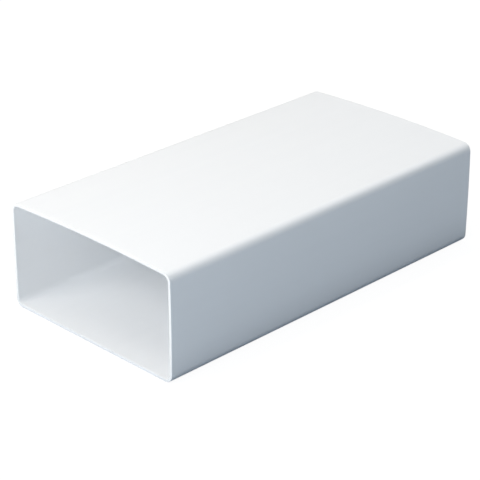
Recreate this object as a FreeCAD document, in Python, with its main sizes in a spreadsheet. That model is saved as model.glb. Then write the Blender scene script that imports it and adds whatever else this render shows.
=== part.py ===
# Flat channel duct: a short cut length of rigid white PVC rectangular ventilation duct.
# The real piece is one extrusion, cut square at both ends, so it is one body here.
# Millimetres. X runs across the duct, Y along the airflow, Z up. The origin is on the flat
# underside, at the middle of the width and of the length.

import FreeCAD
import Part
import Sketcher
import math
import os

# The driving sizes. Each one can be changed by itself.
SIZES = [
    ("width", 110.0, "nominal outer width, between the side walls' corner lines"),
    ("height", 55.0, "nominal outer height, from the underside to the top wall's corner lines"),
    ("length", 210.0, "cut length along the airflow"),
    ("wall", 1.5, "wall thickness, the same all round"),
    ("corner_radius", 4.5, "outer radius of the long corners"),
    ("crown_top", 1.4, "rise of the top wall's middle above the nominal height"),
    ("bow_side", 0.3, "rise of each side wall's middle beyond the nominal width"),
    ("edge_break", 0.2, "chamfer on the edges of the sawn ends"),
]

NODE = "duct"

# How a constraint names a point of a sketch piece, and the sketch's own origin.
START, END, CENTRE = range(1, 4)
ORIGIN = (-1, START)


def make_sheet(doc):
    """The spreadsheet of driving sizes, one named cell each."""
    sheet = doc.addObject("Spreadsheet::Sheet", "Sizes")
    for row, (name, value, meaning) in enumerate(SIZES, start=1):
        sheet.set(f"A{row}", name)
        sheet.set(f"B{row}", str(value))
        sheet.set(f"C{row}", meaning)
        sheet.setAlias(f"B{row}", name)
    doc.recompute()
    return sheet


def origin_plane(body, role):
    """One of the body's own origin planes."""
    return next(plane for plane in body.Origin.OriginFeatures if plane.Role == role)


def arc_through(start, middle, end):
    """Circular arc through three points of the section, given as (x, z) pairs."""
    return Part.Arc(*(FreeCAD.Vector(x, z, 0) for x, z in (start, middle, end)))


def corner_arc(centre, radius, from_degrees):
    """Quarter circle about a long corner's centre, anticlockwise from the given direction."""
    angles = (math.radians(from_degrees + turn) for turn in (0, 45, 90))
    points = [(centre[0] + radius * math.cos(a), centre[1] + radius * math.sin(a)) for a in angles]
    return arc_through(*points)


def add_outline(sketch, sheet, inset):
    """Draw one closed outline of the section, inset from the outer one, and join its pieces.

    The pieces run anticlockwise from the underside. They start close to their places, and
    the constraints then bring them home. Gives the pieces' numbers in the sketch by name.
    """
    half = sheet.width / 2
    radius = sheet.corner_radius - inset
    reach = half - sheet.corner_radius
    low = sheet.corner_radius
    high = sheet.height - sheet.corner_radius
    side = half - inset
    side_middle = side + sheet.bow_side
    top = sheet.height - inset
    top_middle = top + sheet.crown_top
    middle = sheet.height / 2
    underside = Part.LineSegment(FreeCAD.Vector(-reach, inset, 0), FreeCAD.Vector(reach, inset, 0))
    pieces = {
        "underside": underside,
        "low_right": corner_arc((reach, low), radius, -90),
        "right": arc_through((side, low), (side_middle, middle), (side, high)),
        "high_right": corner_arc((reach, high), radius, 0),
        "top": arc_through((reach, top), (0, top_middle), (-reach, top)),
        "high_left": corner_arc((-reach, high), radius, 90),
        "left": arc_through((-side, high), (-side_middle, middle), (-side, low)),
        "low_left": corner_arc((-reach, low), radius, 180),
    }
    numbers = {name: sketch.addGeometry(shape, False) for name, shape in pieces.items()}
    order = list(numbers.values())
    for piece, following in zip(order, order[1:] + order[:1]):
        sketch.addConstraint(Sketcher.Constraint("Tangent", piece, END, following, START))
    return numbers


def bind(sketch, kind, items, value, name, expression):
    """Add one dimension to the sketch and tie it to the sheet."""
    number = sketch.addConstraint(Sketcher.Constraint(kind, *items, value))
    sketch.renameConstraint(number, name)
    sketch.setExpression(f"Constraints.{name}", expression)


def bow_radius(span, rise):
    """Radius of the arc that rises by this much over this span."""
    return span ** 2 / (8 * rise) + rise / 2


def size_outer(sketch, sheet, outer):
    """Set the outer outline's sizes: corners, crowned top, bowed sides and flat underside."""
    top_radius = bow_radius(sheet.width, sheet.crown_top)
    side_radius = bow_radius(sheet.height, sheet.bow_side)
    top_formula = "(Sizes.width^2 / (8 * Sizes.crown_top) + Sizes.crown_top / 2)"
    side_formula = "(Sizes.height^2 / (8 * Sizes.bow_side) + Sizes.bow_side / 2)"
    top_drop = top_radius - sheet.height - sheet.crown_top
    side_offset = side_radius - sheet.width / 2 - sheet.bow_side
    offset_formula = f"{side_formula} - Sizes.width / 2 - Sizes.bow_side"

    for corner in ("high_right", "high_left", "low_left"):
        sketch.addConstraint(Sketcher.Constraint("Equal", outer["low_right"], outer[corner]))
    sketch.addConstraint(Sketcher.Constraint("Equal", outer["right"], outer["left"]))
    sketch.addConstraint(Sketcher.Constraint("Horizontal", outer["underside"]))
    sketch.addConstraint(Sketcher.Constraint("PointOnObject", *ORIGIN, outer["underside"]))
    sketch.addConstraint(Sketcher.Constraint("Vertical", outer["top"], CENTRE, *ORIGIN))

    bind(sketch, "Radius", (outer["low_right"],), sheet.corner_radius,
         "corner_radius", "Sizes.corner_radius")
    bind(sketch, "Radius", (outer["top"],), top_radius, "top_radius", top_formula)
    bind(sketch, "Radius", (outer["right"],), side_radius, "side_radius", side_formula)
    bind(sketch, "DistanceY", (outer["top"], CENTRE, *ORIGIN), top_drop,
         "top_centre_drop", f"{top_formula} - Sizes.height - Sizes.crown_top")
    bind(sketch, "DistanceX", (outer["right"], CENTRE, *ORIGIN), side_offset,
         "right_centre_offset", offset_formula)
    bind(sketch, "DistanceX", (*ORIGIN, outer["left"], CENTRE), side_offset,
         "left_centre_offset", offset_formula)
    for side in ("right", "left"):
        bind(sketch, "DistanceY", (*ORIGIN, outer[side], CENTRE), sheet.height / 2,
             f"{side}_centre_height", "Sizes.height / 2")


def size_inner(sketch, sheet, outer, inner):
    """Keep the inner outline one wall inside the outer one: every arc shares its centre."""
    for name in outer:
        if name != "underside":
            same_centre = (inner[name], CENTRE, outer[name], CENTRE)
            sketch.addConstraint(Sketcher.Constraint("Coincident", *same_centre))
    bind(sketch, "DistanceY", (*ORIGIN, inner["underside"], START), sheet.wall, "wall", "Sizes.wall")


def make_section(body, sheet):
    """The duct's cross-section, seen along the airflow."""
    sketch = body.newObject("Sketcher::SketchObject", "Section")
    sketch.AttachmentSupport = [(origin_plane(body, "XZ_Plane"), "")]
    sketch.MapMode = "FlatFace"
    outer = add_outline(sketch, sheet, 0.0)
    inner = add_outline(sketch, sheet, sheet.wall)
    size_outer(sketch, sheet, outer)
    size_inner(sketch, sheet, outer, inner)
    return sketch


def make_extrusion(body, section):
    """The section drawn out along the airflow, equally to both sides of the origin."""
    extrusion = body.newObject("PartDesign::Pad", "Extrusion")
    extrusion.Profile = section
    extrusion.SideType = "Symmetric"
    extrusion.setExpression("Length", "Sizes.length")
    return extrusion


def end_edges(shape, length):
    """Names of the edges that lie wholly in the planes of the two sawn ends."""
    tolerance = length * 1e-6
    names = []
    for number, edge in enumerate(shape.Edges, start=1):
        if all(abs(abs(vertex.Y) - length / 2) < tolerance for vertex in edge.Vertexes):
            if edge.BoundBox.YLength < tolerance:
                names.append(f"Edge{number}")
    return names


def break_ends(body, sheet, extrusion):
    """The small chamfer that deburring leaves on the sawn ends, inside and outside."""
    chamfer = body.newObject("PartDesign::Chamfer", "DeburredEnds")
    chamfer.Base = (extrusion, end_edges(extrusion.Shape, sheet.length))
    chamfer.setExpression("Size", "Sizes.edge_break")
    return chamfer


def make_duct(doc, sheet):
    """The whole duct as one body."""
    body = doc.addObject("PartDesign::Body", "Duct")
    body.Label = NODE
    section = make_section(body, sheet)
    doc.recompute()
    extrusion = make_extrusion(body, section)
    doc.recompute()
    break_ends(body, sheet, extrusion)
    doc.recompute()
    return body


def check(doc, body):
    """Stop with a plain message if anything in the document failed."""
    for item in doc.Objects:
        if "Invalid" in item.State or "Error" in item.State:
            raise RuntimeError(f"{item.Label} failed: {item.State}")
    if body.Shape.isNull() or not body.Shape.isValid():
        raise RuntimeError(f"{body.Label} has no valid shape")
    if len(body.Shape.Solids) != 1:
        raise RuntimeError(f"{body.Label} is not one solid")


def main():
    doc = FreeCAD.newDocument("flat_channel_duct")
    sheet = make_sheet(doc)
    duct = make_duct(doc, sheet)
    check(doc, duct)
    os.makedirs("parts", exist_ok=True)
    duct.Shape.exportStep(f"parts/{duct.Label}.step")
    box = duct.Shape.BoundBox
    print(f"{duct.Label}: {box.XLength:.3f} x {box.YLength:.3f} x {box.ZLength:.3f} mm, "
          f"{duct.Shape.Volume / 1000:.3f} cm3")


main()
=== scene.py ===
# Flat channel duct, finished and lit: a cut length of white rectangular ventilation duct.
# Metres, in the duct's own frame: X runs across it, Y along the airflow, Z up from its underside.

import math
from typing import NamedTuple

import bpy
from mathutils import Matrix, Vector


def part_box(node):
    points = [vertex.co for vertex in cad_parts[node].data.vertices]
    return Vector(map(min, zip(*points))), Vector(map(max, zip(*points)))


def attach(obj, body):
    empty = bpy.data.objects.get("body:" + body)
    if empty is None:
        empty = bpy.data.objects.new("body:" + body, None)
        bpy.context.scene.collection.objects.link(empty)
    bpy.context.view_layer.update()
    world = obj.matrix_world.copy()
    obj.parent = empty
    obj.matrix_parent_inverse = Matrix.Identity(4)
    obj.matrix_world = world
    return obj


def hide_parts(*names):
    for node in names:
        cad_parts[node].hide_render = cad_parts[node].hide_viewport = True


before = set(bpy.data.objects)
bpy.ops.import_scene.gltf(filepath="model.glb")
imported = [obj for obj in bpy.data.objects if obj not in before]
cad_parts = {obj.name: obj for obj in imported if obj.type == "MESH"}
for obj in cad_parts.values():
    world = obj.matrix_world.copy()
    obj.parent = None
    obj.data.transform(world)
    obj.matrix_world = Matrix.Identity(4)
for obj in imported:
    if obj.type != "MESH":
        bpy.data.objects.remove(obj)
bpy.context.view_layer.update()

bl_info = {
    "name": "Flat Channel Duct",
    "version": (1, 0, 0),
    "blender": (4, 5, 0),
    "location": "3D View > Sidebar > Duct",
    "description": "Makes a cut length of white rectangular ventilation duct and lights it",
    "category": "Add Mesh",
}

MM = 0.001

# The duct's box in the frame gives its length, the rise of its crown and the bow of its sides.
DUCT_LOW, DUCT_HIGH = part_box("duct")
NOMINAL_WIDTH = 110 * MM
NOMINAL_HEIGHT = 55 * MM

# How finely the wall is divided. The points of the rounded corners come on top of these cuts.
LEVEL_CUTS = 11
UPRIGHT_CUTS = 5
LENGTH_CUTS = 31
RIM_CUTS = 1
EDGE_POINTS = 4

# A place in a rectangle goes from -1 to 1, and counts as at an end when it is this close to it.
EDGE_TOLERANCE = 0.0001

# The plastic: its index of refraction, the depth of its fine relief, how far its roughness swings to
# each side, and the slant of the saw's lines.
PLASTIC_IOR = 1.53
WALL_RELIEF = 0.004 * MM
WALL_SWING = 0.06
RIM_RELIEF = 0.02 * MM
RIM_SWING = 0.08
SAW_SLANT = math.radians(24.0)

# Noise stays near the middle of 0 to 1. These are the stretches of it that the finishes use.
DRIFT_RANGE = (0.38, 0.62)
SAW_LINE_RANGE = (0.45, 0.70)
GLOSS_RANGE = (0.35, 0.65)
FULL_RANGE = (0.0, 1.0)

# A Mix node's colour sockets go by number, because its other sockets share their names.
MIX_FACTOR = 0
MIX_FIRST = 6
MIX_SECOND = 7
MIX_RESULT = 2

# Nodes are set out in a row, this far apart.
NODE_SPACING = 180


class Softbox(NamedTuple):
    """A softbox: where it stands, its two sides, its colour and whether the plastic mirrors it."""

    place: tuple
    sides: tuple
    colour: tuple
    shines: bool


# All softboxes face one point in the duct. The three before the duct are polarised, so that they
# don't glare on the top when it is seen from behind.
LIT_POINT = Vector((0.0, -0.05, 0.03))
WARM_WHITE = (1.000, 0.970, 0.930)
COOL_WHITE = (0.900, 0.958, 1.000)
SOFTBOXES = {
    "overhead": Softbox((-0.70, 0.00, 1.20), sides=(1.0, 1.2), colour=WARM_WHITE, shines=True),
    "front": Softbox((-0.20, -1.20, 0.90), sides=(1.0, 0.7), colour=WARM_WHITE, shines=False),
    "steep": Softbox((-0.10, -0.70, 1.35), sides=(0.8, 0.6), colour=WARM_WHITE, shines=False),
    "mouth": Softbox((0.46, -1.26, 0.55), sides=(0.9, 0.6), colour=COOL_WHITE, shines=False),
    "back": Softbox((0.20, 1.20, 1.15), sides=(1.4, 1.0), colour=COOL_WHITE, shines=True),
}

# The floor lies a hair under the duct. Far from the duct its glow fades into the backdrop.
FLOOR_HALF = 4.0
FLOOR_DEPTH = 0.02 * MM
FADE_START = 0.55
FADE_END = 2.20

# A white card lies before the mouth and throws light inside. It ends short of the side's plane.
CARD_GAP = 15 * MM
CARD_LOW = Vector((-0.25, -0.60))
CARD_HIGH = Vector((0.05, DUCT_LOW.y - CARD_GAP))
CARD_HEIGHT = 1.0 * MM

# A dark sheet lies under the duct and reaches a little beyond its sides and its far end. It is painted
# shade: it darkens the light that the floor throws onto the duct's lower edges there.
SHADE_SHEET_MARGIN = 10 * MM
SHADE_SHEET_LOW = Vector((DUCT_LOW.x - SHADE_SHEET_MARGIN, DUCT_LOW.y))
SHADE_SHEET_HIGH = Vector((DUCT_HIGH.x + SHADE_SHEET_MARGIN, DUCT_HIGH.y + SHADE_SHEET_MARGIN))
SHADE_SHEET_HEIGHT = -0.01 * MM

# What the camera looks at, close to the middle of the duct. The sensor is in millimetres.
LOOKED_AT = Vector((-0.6, -5.9, 19.7)) * MM
SENSOR_WIDTH = 36.0


def length_of(name, default, description):
    """A length that a user may change."""
    return bpy.props.FloatProperty(
        name=name, description=description, default=default, min=0.0, unit="LENGTH", precision=5)


def colour_of(name, default, description):
    """A colour that a user may change, in linear values."""
    return bpy.props.FloatVectorProperty(
        name=name, description=description, default=default, min=0.0, max=1.0, size=3, subtype="COLOR")


def share_of(name, default, description):
    """A share from 0 to 1 that a user may change."""
    return bpy.props.FloatProperty(
        name=name, description=description, default=default, min=0.0, max=1.0, subtype="FACTOR")


def power_of(name, default, description):
    """A light's power that a user may change."""
    return bpy.props.FloatProperty(
        name=name, description=description, default=default, min=0.0, unit="POWER")


def angle_of(name, degrees, description):
    """An angle that a user may change."""
    return bpy.props.FloatProperty(
        name=name, description=description, default=math.radians(degrees), subtype="ANGLE")


class DuctSizes(bpy.types.PropertyGroup):
    """Sizes of the extruded wall"""

    width: length_of("Width", NOMINAL_WIDTH, "Outer width at the corner lines")
    height: length_of("Height", NOMINAL_HEIGHT, "Outer height at the corner lines")
    length: length_of("Length", DUCT_HIGH.y - DUCT_LOW.y, "Cut length along the airflow")
    wall: length_of("Wall", 1.5 * MM, "Wall thickness")
    corner_radius: length_of("Corner radius", 4.5 * MM, "Outer radius of the long corners")
    top_crown: length_of("Top crown", DUCT_HIGH.z - NOMINAL_HEIGHT, "Rise of the top wall's middle")
    side_bow: length_of("Side bow", DUCT_HIGH.x - NOMINAL_WIDTH / 2, "Rise of each side wall's middle")
    edge_break: length_of("Edge break", 0.2 * MM, "Rounding of the sawn edges")
    corner_points: bpy.props.IntProperty(
        name="Corner points", description="Points on each long corner", default=14, min=2)


class DuctFinish(bpy.types.PropertyGroup):
    """Colours and gloss of the plastic"""

    wall_colour: colour_of("Wall", (0.845, 0.855, 0.870), "Colour of the extruded faces")
    drift_colour: colour_of("Wall drift", (0.835, 0.846, 0.863), "Colour of the wall's duller drifts")
    # The sawn ends are darker than the wall: partly a duller cut, partly painted shade that tones down
    # the front light on them.
    rim_colour: colour_of("Sawn rim", (0.690, 0.697, 0.707), "Colour of the sawn ends")
    saw_line_colour: colour_of("Saw lines", (0.650, 0.657, 0.667), "Colour in the saw's lines")
    satin: share_of("Satin roughness", 0.50, "Roughness of the extruded faces")
    sawn: share_of("Sawn roughness", 0.75, "Roughness of the sawn ends")


class DuctStage(bpy.types.PropertyGroup):
    """Floor, light and camera"""

    floor_bounce: colour_of("Floor bounce", (0.42, 0.49, 0.57), "Colour of the light off the floor")
    card_colour: colour_of("Card", (0.90, 0.90, 0.89), "Colour of the white card before the mouth")
    # The dark sheet's colour is painted shade for the duct's lower edges.
    shade_sheet_colour: colour_of("Shade sheet", (0.21, 0.27, 0.34), "Colour of the dark sheet under the duct that paints shade on its lower edges")
    floor_shade: share_of("Floor shade", 0.10, "How strongly the floor shows shadows")
    floor_glow: share_of("Floor glow", 0.94, "The floor's own brightness beside the duct")
    backdrop: share_of("Backdrop", 0.80, "Brightness of the backdrop and of the floor far away")
    surround: share_of("Surround", 0.01, "Strength of the room's soft light")
    overhead_power: power_of("Overhead softbox", 10.3, "Power of the softbox over the duct")
    front_power: power_of("Front softbox", 10.1, "Power of the high softbox before the duct")
    steep_power: power_of("Steep softbox", 2.4, "Power of the softbox that looks down at the mouth")
    mouth_power: power_of("Mouth softbox", 14.5, "Power of the low softbox that looks into the mouth")
    back_power: power_of("Back softbox", 9.7, "Power of the softbox behind the duct")
    azimuth: angle_of("Azimuth", 44.9, "Camera's turn from the mouth's axis")
    elevation: angle_of("Elevation", 25.6, "Camera's height above level")
    distance: length_of("Distance", 0.897, "From the camera to the point that it looks at")
    lens: bpy.props.FloatProperty(
        name="Lens", description="Focal length", default=135.0, min=1.0, unit="CAMERA")


def add(tree, kind, inputs=None, **settings):
    """Add a node with its options. Its inputs are values or sockets, by name or number."""
    node = tree.nodes.new(kind)
    node.location = (NODE_SPACING * len(tree.nodes), 0)
    for name, value in settings.items():
        setattr(node, name, value)
    for name, value in (inputs or {}).items():
        if isinstance(value, bpy.types.NodeSocket):
            tree.links.new(value, node.inputs[name])
        else:
            node.inputs[name].default_value = value
    return node


def calc(tree, operation, *values):
    """The result of a sum on numbers or sockets."""
    return add(tree, "ShaderNodeMath", dict(enumerate(values)), operation=operation).outputs[0]


def place_in(tree, width, height):
    """A point's place in a rectangle about zero, across and up, each from -1 to 1."""
    position = add(tree, "GeometryNodeInputPosition").outputs[0]
    parts = add(tree, "ShaderNodeSeparateXYZ", {0: position}).outputs
    across = calc(tree, "DIVIDE", calc(tree, "MULTIPLY", parts["X"], 2.0), width)
    up = calc(tree, "DIVIDE", calc(tree, "MULTIPLY", parts["Y"], 2.0), height)
    return across, up


def reaches(tree, value, limit):
    """1 where the value reaches the limit, with a hair of tolerance, and 0 elsewhere."""
    return calc(tree, "GREATER_THAN", value, limit - EDGE_TOLERANCE)


def fall_off(tree, value):
    """1 in the middle of a wall, falling as a parabola to 0 at its ends."""
    return calc(tree, "SUBTRACT", 1.0, calc(tree, "MULTIPLY", value, value))


def cut_rectangle(tree, width, height, level_cuts, upright_cuts):
    """A closed rectangle whose level and upright sides are cut into even stretches."""
    corners = add(tree, "GeometryNodeCurvePrimitiveQuadrilateral",
                  {"Width": width, "Height": height}, mode="RECTANGLE").outputs[0]
    number = add(tree, "GeometryNodeInputIndex").outputs[0]
    upright = calc(tree, "MODULO", number, 2)
    cuts = calc(tree, "MULTIPLY_ADD", upright, upright_cuts - level_cuts, level_cuts)
    return add(tree, "GeometryNodeSubdivideCurve", {"Curve": corners, "Cuts": cuts}).outputs[0]


def round_corners(tree, curve, across, up, radius, points):
    """Round a rectangle's four corners, the points where both places are at their ends."""
    reach = calc(tree, "ADD", calc(tree, "ABSOLUTE", across), calc(tree, "ABSOLUTE", up))
    corner_radius = calc(tree, "MULTIPLY", radius, reaches(tree, reach, 2.0))
    return add(tree, "GeometryNodeFilletCurve",
               {"Curve": curve, "Count": points, "Radius": corner_radius}, mode="POLY").outputs[0]


def shifted(tree, geometry, axis, amount):
    """Geometry whose points move along one axis by an amount of their own."""
    offset = add(tree, "ShaderNodeCombineXYZ", {axis: amount}).outputs[0]
    return add(tree, "GeometryNodeSetPosition", {"Geometry": geometry, "Offset": offset}).outputs[0]


def section_outline(tree, given):
    """The section's outer outline: a rectangle with a crowned top, bowed sides and round corners."""
    curve = cut_rectangle(tree, given["Width"], given["Height"], LEVEL_CUTS, UPRIGHT_CUTS)
    across, up = place_in(tree, given["Width"], given["Height"])
    on_top = reaches(tree, up, 1.0)
    on_side = reaches(tree, calc(tree, "ABSOLUTE", across), 1.0)
    outwards = calc(tree, "MULTIPLY", on_side, calc(tree, "SIGN", across))
    bow = calc(tree, "MULTIPLY", outwards, fall_off(tree, up))
    bowed = shifted(tree, curve, "X", calc(tree, "MULTIPLY", given["Side bow"], bow))
    crown = calc(tree, "MULTIPLY", on_top, fall_off(tree, across))
    crowned = shifted(tree, bowed, "Y", calc(tree, "MULTIPLY", given["Top crown"], crown))
    outline = round_corners(tree, crowned, across, up, given["Corner radius"], given["Corner points"])
    return add(tree, "GeometryNodeSetCurveNormal", {"Curve": outline}, mode="Z_UP").outputs[0]


def wall_strip(tree, given):
    """The wall cut along the airflow: a long thin strip with broken edges, its outer face at zero.

    Its points crowd towards the sawn ends, so that the rounding there stays crisp.
    """
    curve = cut_rectangle(tree, given["Wall"], given["Length"], RIM_CUTS, LENGTH_CUTS)
    across, along = place_in(tree, given["Wall"], given["Length"])
    crowded = calc(tree, "SINE", calc(tree, "MULTIPLY", along, math.pi / 2))
    half_length = calc(tree, "MULTIPLY", given["Length"], 0.5)
    slide = calc(tree, "MULTIPLY", half_length, calc(tree, "SUBTRACT", crowded, along))
    spaced = shifted(tree, curve, "Y", slide)
    broken = round_corners(tree, spaced, across, along, given["Edge break"], EDGE_POINTS)
    return shifted(tree, broken, "X", calc(tree, "MULTIPLY", given["Wall"], -0.5))


def laid_down(tree, mesh, height):
    """The swept wall turned from the section's plane to lie along Y, with its underside at zero."""
    lift = add(tree, "ShaderNodeCombineXYZ", {"Z": calc(tree, "MULTIPLY", height, 0.5)}).outputs[0]
    return add(tree, "GeometryNodeTransform",
               {"Geometry": mesh, "Translation": lift, "Rotation": (math.pi / 2, 0, 0)}).outputs[0]


def at_sawn_ends(tree, given):
    """1 on the faces of the two sawn ends and 0 elsewhere."""
    position = add(tree, "GeometryNodeInputPosition").outputs[0]
    along = add(tree, "ShaderNodeSeparateXYZ", {0: position}).outputs["Y"]
    half_length = calc(tree, "MULTIPLY", given["Length"], 0.5)
    depth = calc(tree, "SUBTRACT", half_length, calc(tree, "ABSOLUTE", along))
    return calc(tree, "LESS_THAN", depth, calc(tree, "MULTIPLY", given["Edge break"], 0.5))


def duct_tree():
    """The whole duct: its wall strip swept round the section's outline."""
    tree = bpy.data.node_groups.new("Duct wall", "GeometryNodeTree")
    inputs = {
        "NodeSocketFloat": ("Width", "Height", "Length", "Wall", "Corner radius", "Top crown",
                            "Side bow", "Edge break"),
        "NodeSocketInt": ("Corner points",),
        "NodeSocketMaterial": ("Wall material", "Rim material"),
    }
    for kind, names in inputs.items():
        for name in names:
            tree.interface.new_socket(name, in_out="INPUT", socket_type=kind)
    tree.interface.new_socket("Duct", in_out="OUTPUT", socket_type="NodeSocketGeometry")
    given = add(tree, "NodeGroupInput").outputs

    outline = section_outline(tree, given)
    strip = wall_strip(tree, given)
    swept = add(tree, "GeometryNodeCurveToMesh", {"Curve": outline, "Profile Curve": strip}).outputs[0]
    laid = laid_down(tree, swept, given["Height"])
    smooth = add(tree, "GeometryNodeSetShadeSmooth", {"Geometry": laid}).outputs[0]
    whole = add(tree, "GeometryNodeRealizeInstances", {"Geometry": smooth}).outputs[0]
    walls = add(tree, "GeometryNodeSetMaterial",
                {"Geometry": whole, "Material": given["Wall material"]}).outputs[0]
    rims = add(tree, "GeometryNodeSetMaterial",
               {"Geometry": walls, "Selection": at_sawn_ends(tree, given),
                "Material": given["Rim material"]}).outputs[0]
    add(tree, "NodeGroupOutput", {"Duct": rims})
    return tree


def piece_from_tree(name, tree, values):
    """Run a tree once and keep its result as a plain mesh object at the origin."""
    piece = bpy.data.objects.new(name, bpy.data.meshes.new(name))
    bpy.context.scene.collection.objects.link(piece)
    modifier = piece.modifiers.new("Build", "NODES")
    modifier.node_group = tree
    for socket in tree.interface.items_tree:
        if socket.in_out == "INPUT":
            modifier[socket.identifier] = values[socket.name]
    graph = bpy.context.evaluated_depsgraph_get()
    mesh = bpy.data.meshes.new_from_object(piece.evaluated_get(graph))
    piece.modifiers.clear()
    piece.data = mesh
    if not mesh.polygons:
        raise RuntimeError(f"{name} came out empty")
    return piece


def mask_group(name, inputs, outputs):
    """A shader node group of masks, with its inputs given as name, kind and default."""
    group = bpy.data.node_groups.new(name, "ShaderNodeTree")
    for socket, kind, default in inputs:
        made = group.interface.new_socket(socket, in_out="INPUT", socket_type=kind)
        made.default_value = default
    for socket in outputs:
        group.interface.new_socket(socket, in_out="OUTPUT", socket_type="NodeSocketFloat")
    return group, add(group, "NodeGroupInput").outputs


def streaks_group():
    """Lines that run one way over a face, such as die lines or saw lines: broad ones and fine ones."""
    group, given = mask_group("Streaks", [
        ("Place", "NodeSocketVector", (0.0, 0.0, 0.0)),
        ("Stretch", "NodeSocketVector", (1.0, 1.0, 1.0)),
        ("Fineness", "NodeSocketFloat", 8.0),
    ], ["Broad", "Fine"])
    stretched = add(group, "ShaderNodeVectorMath", {0: given["Place"], 1: given["Stretch"]},
                    operation="MULTIPLY").outputs[0]
    broad = add(group, "ShaderNodeTexNoise", {"Vector": stretched, "Scale": 1.0, "Detail": 2.0})
    fine = add(group, "ShaderNodeTexNoise",
               {"Vector": stretched, "Scale": given["Fineness"], "Detail": 2.0, "Roughness": 0.6})
    add(group, "NodeGroupOutput", {"Broad": broad.outputs[0], "Fine": fine.outputs[0]})
    return group


def drift_group():
    """Slow cloudy drifts and a fine speckle over a face."""
    group, given = mask_group("Drift", [
        ("Place", "NodeSocketVector", (0.0, 0.0, 0.0)),
        ("Cloud scale", "NodeSocketFloat", 16.0),
        ("Speckle scale", "NodeSocketFloat", 2400.0),
    ], ["Cloud", "Speckle"])
    cloud = add(group, "ShaderNodeTexNoise",
                {"Vector": given["Place"], "Scale": given["Cloud scale"], "Detail": 3.0})
    speckle = add(group, "ShaderNodeTexNoise",
                  {"Vector": given["Place"], "Scale": given["Speckle scale"], "Detail": 1.0})
    add(group, "NodeGroupOutput", {"Cloud": cloud.outputs[0], "Speckle": speckle.outputs[0]})
    return group


def plastic(name):
    """A material with a plastic's shader. Gives it with its tree, shader and Object coordinates."""
    material = bpy.data.materials.new(name)
    material.use_nodes = True
    tree = material.node_tree
    shader = tree.nodes["Principled BSDF"]
    shader.inputs["IOR"].default_value = PLASTIC_IOR
    return material, tree, shader, add(tree, "ShaderNodeTexCoord").outputs["Object"]


def spread(tree, mask, given_range, wanted_range):
    """A mask brought from one range into another."""
    from_low, from_high = given_range
    to_low, to_high = wanted_range
    return add(tree, "ShaderNodeMapRange",
               {"Value": mask, "From Min": from_low, "From Max": from_high,
                "To Min": to_low, "To Max": to_high}).outputs[0]


def around(middle, swing):
    """The range that swings as far to each side of its middle."""
    return middle - swing, middle + swing


def blend(tree, mask, first, second):
    """A colour that goes from the first to the second with a mask."""
    mix = add(tree, "ShaderNodeMix",
              {MIX_FACTOR: mask, MIX_FIRST: (*first, 1.0), MIX_SECOND: (*second, 1.0)},
              data_type="RGBA")
    return mix.outputs[MIX_RESULT]


def weighted(tree, first, share, second):
    """Two masks added, the first at its share and the second at the rest."""
    return calc(tree, "MULTIPLY_ADD", first, share, calc(tree, "MULTIPLY", second, 1.0 - share))


def finish_shader(tree, shader, colour, roughness, relief, depth):
    """Join a colour, a roughness and a fine relief of the given depth to a shader."""
    tree.links.new(colour, shader.inputs["Base Color"])
    tree.links.new(roughness, shader.inputs["Roughness"])
    bump = add(tree, "ShaderNodeBump", {"Height": relief, "Strength": 1.0, "Distance": depth})
    tree.links.new(bump.outputs[0], shader.inputs["Normal"])


def satin_wall(finish, streaks, drift):
    """Extruded plastic: satin white, with die lines along the airflow and slow drifts in tone."""
    material, tree, shader, place = plastic("Satin extruded wall")
    lines = add(tree, "ShaderNodeGroup",
                {"Place": place, "Stretch": (150.0, 1.2, 150.0), "Fineness": 9.0},
                node_tree=streaks).outputs
    tone = add(tree, "ShaderNodeGroup",
               {"Place": place, "Cloud scale": 16.0, "Speckle scale": 2400.0}, node_tree=drift).outputs
    dull = weighted(tree, lines["Broad"], 0.5, tone["Cloud"])
    drifts = spread(tree, dull, DRIFT_RANGE, FULL_RANGE)
    colour = blend(tree, drifts, finish.wall_colour, finish.drift_colour)
    gloss = weighted(tree, lines["Fine"], 0.4, dull)
    roughness = spread(tree, gloss, GLOSS_RANGE, around(finish.satin, WALL_SWING))
    relief = weighted(tree, tone["Speckle"], 0.25, lines["Fine"])
    finish_shader(tree, shader, colour, roughness, relief, WALL_RELIEF)
    return material


def sawn_rim(finish, streaks, drift):
    """Sawn plastic: the cut ends, duller, with the saw's slanting lines."""
    material, tree, shader, place = plastic("Sawn rim")
    turned = add(tree, "ShaderNodeMapping",
                 {"Vector": place, "Rotation": (0.0, SAW_SLANT, 0.0)}).outputs[0]
    lines = add(tree, "ShaderNodeGroup",
                {"Place": turned, "Stretch": (700.0, 1.0, 30.0), "Fineness": 4.0},
                node_tree=streaks).outputs
    tone = add(tree, "ShaderNodeGroup",
               {"Place": place, "Cloud scale": 60.0, "Speckle scale": 3000.0}, node_tree=drift).outputs
    cut = weighted(tree, lines["Broad"], 0.6, lines["Fine"])
    saw_lines = spread(tree, cut, SAW_LINE_RANGE, FULL_RANGE)
    # The rim's colour is darker than the wall's: partly a duller cut, partly painted shade against the
    # strong front light.
    colour = blend(tree, saw_lines, finish.rim_colour, finish.saw_line_colour)
    dust = weighted(tree, tone["Cloud"], 0.4, cut)
    roughness = spread(tree, dust, GLOSS_RANGE, around(finish.sawn, RIM_SWING))
    relief = weighted(tree, tone["Speckle"], 0.3, cut)
    finish_shader(tree, shader, colour, roughness, relief, RIM_RELIEF)
    return material


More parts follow.
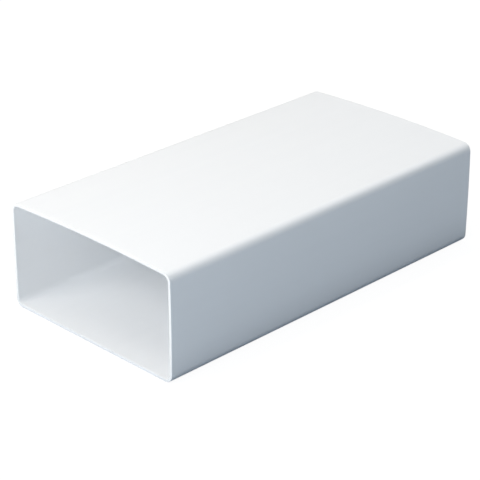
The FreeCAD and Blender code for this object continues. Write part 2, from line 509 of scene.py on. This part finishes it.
class DUCT_OT_make_duct(bpy.types.Operator):
    """Make the duct's wall with its two sawn ends"""

    bl_idname = "duct.make_duct"
    bl_label = "Make duct"

    def execute(self, context):
        sizes = context.scene.duct_sizes
        finish = context.scene.duct_finish
        streaks = streaks_group()
        drift = drift_group()
        piece = piece_from_tree("duct_extrusion", duct_tree(), {
            "Width": sizes.width,
            "Height": sizes.height,
            "Length": sizes.length,
            "Wall": sizes.wall,
            "Corner radius": sizes.corner_radius,
            "Top crown": sizes.top_crown,
            "Side bow": sizes.side_bow,
            "Edge break": sizes.edge_break,
            "Corner points": sizes.corner_points,
            "Wall material": satin_wall(finish, streaks, drift),
            "Rim material": sawn_rim(finish, streaks, drift),
        })
        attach(piece, "root")
        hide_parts("duct")
        return {"FINISHED"}


def floor_material(stage):
    """A pale floor that bounces cool light, and that the camera sees as white with faint shadows."""
    material = bpy.data.materials.new("Pale floor")
    material.use_nodes = True
    tree = material.node_tree
    tree.nodes.clear()
    shade = stage.floor_shade
    bounce = add(tree, "ShaderNodeBsdfDiffuse", {"Color": (*stage.floor_bounce, 1.0)}).outputs[0]
    shadowed = add(tree, "ShaderNodeBsdfDiffuse", {"Color": (shade, shade, shade, 1.0)}).outputs[0]
    place = add(tree, "ShaderNodeTexCoord").outputs["Object"]
    away = add(tree, "ShaderNodeVectorMath", {0: place}, operation="LENGTH").outputs["Value"]
    brightness = spread(tree, away, (FADE_START, FADE_END), (stage.floor_glow, stage.backdrop))
    glow = add(tree, "ShaderNodeEmission", {"Strength": brightness}).outputs[0]
    seen = add(tree, "ShaderNodeAddShader", {0: shadowed, 1: glow}).outputs[0]
    by_camera = add(tree, "ShaderNodeLightPath").outputs["Is Camera Ray"]
    either = add(tree, "ShaderNodeMixShader", {0: by_camera, 1: bounce, 2: seen}).outputs[0]
    add(tree, "ShaderNodeOutputMaterial", {"Surface": either})
    return material


def matt_material(name, colour):
    """Matt paper or card of the stage."""
    material = bpy.data.materials.new(name)
    material.use_nodes = True
    tree = material.node_tree
    tree.nodes.clear()
    matt = add(tree, "ShaderNodeBsdfDiffuse", {"Color": (*colour, 1.0)}).outputs[0]
    add(tree, "ShaderNodeOutputMaterial", {"Surface": matt})
    return material


def lay_flat(name, low, high, height, material):
    """A level rectangle of the stage, between two corners."""
    outline = ((low.x, low.y), (high.x, low.y), (high.x, high.y), (low.x, high.y))
    mesh = bpy.data.meshes.new(name)
    mesh.from_pydata([(x, y, height) for x, y in outline], [], [(0, 1, 2, 3)])
    mesh.materials.append(material)
    flat = bpy.data.objects.new(name, mesh)
    bpy.context.scene.collection.objects.link(flat)
    return flat


def make_floor(stage):
    """A plain floor, with the card and the dark sheet of painted shade on it. These two neither show
    nor shade the floor.
    """
    reach = Vector((FLOOR_HALF, FLOOR_HALF))
    lay_flat("floor", -reach, reach, -FLOOR_DEPTH, floor_material(stage))
    white = matt_material("White card", stage.card_colour)
    # This dull material belongs to the dark sheet: painted shade for the duct's lower edges.
    dull = matt_material("Dull mat", stage.shade_sheet_colour)
    card = lay_flat("card", CARD_LOW, CARD_HIGH, CARD_HEIGHT, white)
    mat = lay_flat("mat", SHADE_SHEET_LOW, SHADE_SHEET_HIGH, SHADE_SHEET_HEIGHT, dull)
    for unseen in (card, mat):
        unseen.visible_camera = False
        unseen.visible_shadow = False


def make_surround(stage):
    """A dim room, which the camera sees as a plain pale backdrop."""
    world = bpy.data.worlds.new("Studio")
    world.use_nodes = True
    tree = world.node_tree
    tree.nodes.clear()
    by_camera = add(tree, "ShaderNodeLightPath").outputs["Is Camera Ray"]
    brightness = spread(tree, by_camera, FULL_RANGE, (stage.surround, stage.backdrop))
    room = add(tree, "ShaderNodeBackground", {"Color": (1.0, 1.0, 1.0, 1.0), "Strength": brightness})
    add(tree, "ShaderNodeOutputWorld", {"Surface": room.outputs[0]})
    bpy.context.scene.world = world


def make_softbox(name, form, power):
    """A rectangular light that faces the duct and doesn't show itself."""
    light = bpy.data.lights.new(name, "AREA")
    light.shape = "RECTANGLE"
    light.size, light.size_y = form.sides
    light.color = form.colour
    light.energy = power
    softbox = bpy.data.objects.new(name, light)
    softbox.location = form.place
    softbox.rotation_euler = (LIT_POINT - softbox.location).to_track_quat("-Z", "Y").to_euler()
    softbox.visible_camera = False
    softbox.visible_glossy = form.shines
    bpy.context.scene.collection.objects.link(softbox)


def make_camera(stage):
    """A camera that looks down on the mouth and one side."""
    data = bpy.data.cameras.new("Camera")
    data.lens = stage.lens
    data.sensor_width = SENSOR_WIDTH
    camera = bpy.data.objects.new("Camera", data)
    level = math.cos(stage.elevation)
    back = Vector((math.sin(stage.azimuth) * level, -math.cos(stage.azimuth) * level,
                   math.sin(stage.elevation)))
    camera.location = LOOKED_AT + back * stage.distance
    camera.rotation_euler = (-back).to_track_quat("-Z", "Y").to_euler()
    bpy.context.scene.collection.objects.link(camera)
    bpy.context.scene.camera = camera


class DUCT_OT_set_stage(bpy.types.Operator):
    """Set the floor, the softboxes and the camera"""

    bl_idname = "duct.set_stage"
    bl_label = "Set stage"

    def execute(self, context):
        stage = context.scene.duct_stage
        context.scene.view_settings.view_transform = "Standard"
        make_floor(stage)
        make_surround(stage)
        for name, form in SOFTBOXES.items():
            make_softbox(f"{name}_softbox", form, getattr(stage, f"{name}_power"))
        make_camera(stage)
        return {"FINISHED"}


class DUCT_PT_sidebar(bpy.types.Panel):
    """The duct's sizes, finish and stage"""

    bl_label = "Flat channel duct"
    bl_space_type = "VIEW_3D"
    bl_region_type = "UI"
    bl_category = "Duct"

    def draw(self, context):
        for name, group in GROUPS.items():
            box = self.layout.box()
            box.label(text=group.__doc__)
            for setting in group.__annotations__:
                box.prop(getattr(context.scene, name), setting)
        for operator in OPERATORS:
            self.layout.operator(operator.bl_idname)


GROUPS = {"duct_sizes": DuctSizes, "duct_finish": DuctFinish, "duct_stage": DuctStage}
OPERATORS = (DUCT_OT_make_duct, DUCT_OT_set_stage)
CLASSES = (*GROUPS.values(), *OPERATORS, DUCT_PT_sidebar)


def register():
    """Register the classes and hang the settings on the scene."""
    for made in CLASSES:
        bpy.utils.register_class(made)
    for name, group in GROUPS.items():
        setattr(bpy.types.Scene, name, bpy.props.PointerProperty(type=group))


def unregister():
    """Take the settings and the classes away again."""
    for name in GROUPS:
        delattr(bpy.types.Scene, name)
    for made in reversed(CLASSES):
        bpy.utils.unregister_class(made)


def main():
    """Make the duct and its stage."""
    register()
    bpy.ops.duct.make_duct()
    bpy.ops.duct.set_stage()


if __name__ == "__main__":
    main()
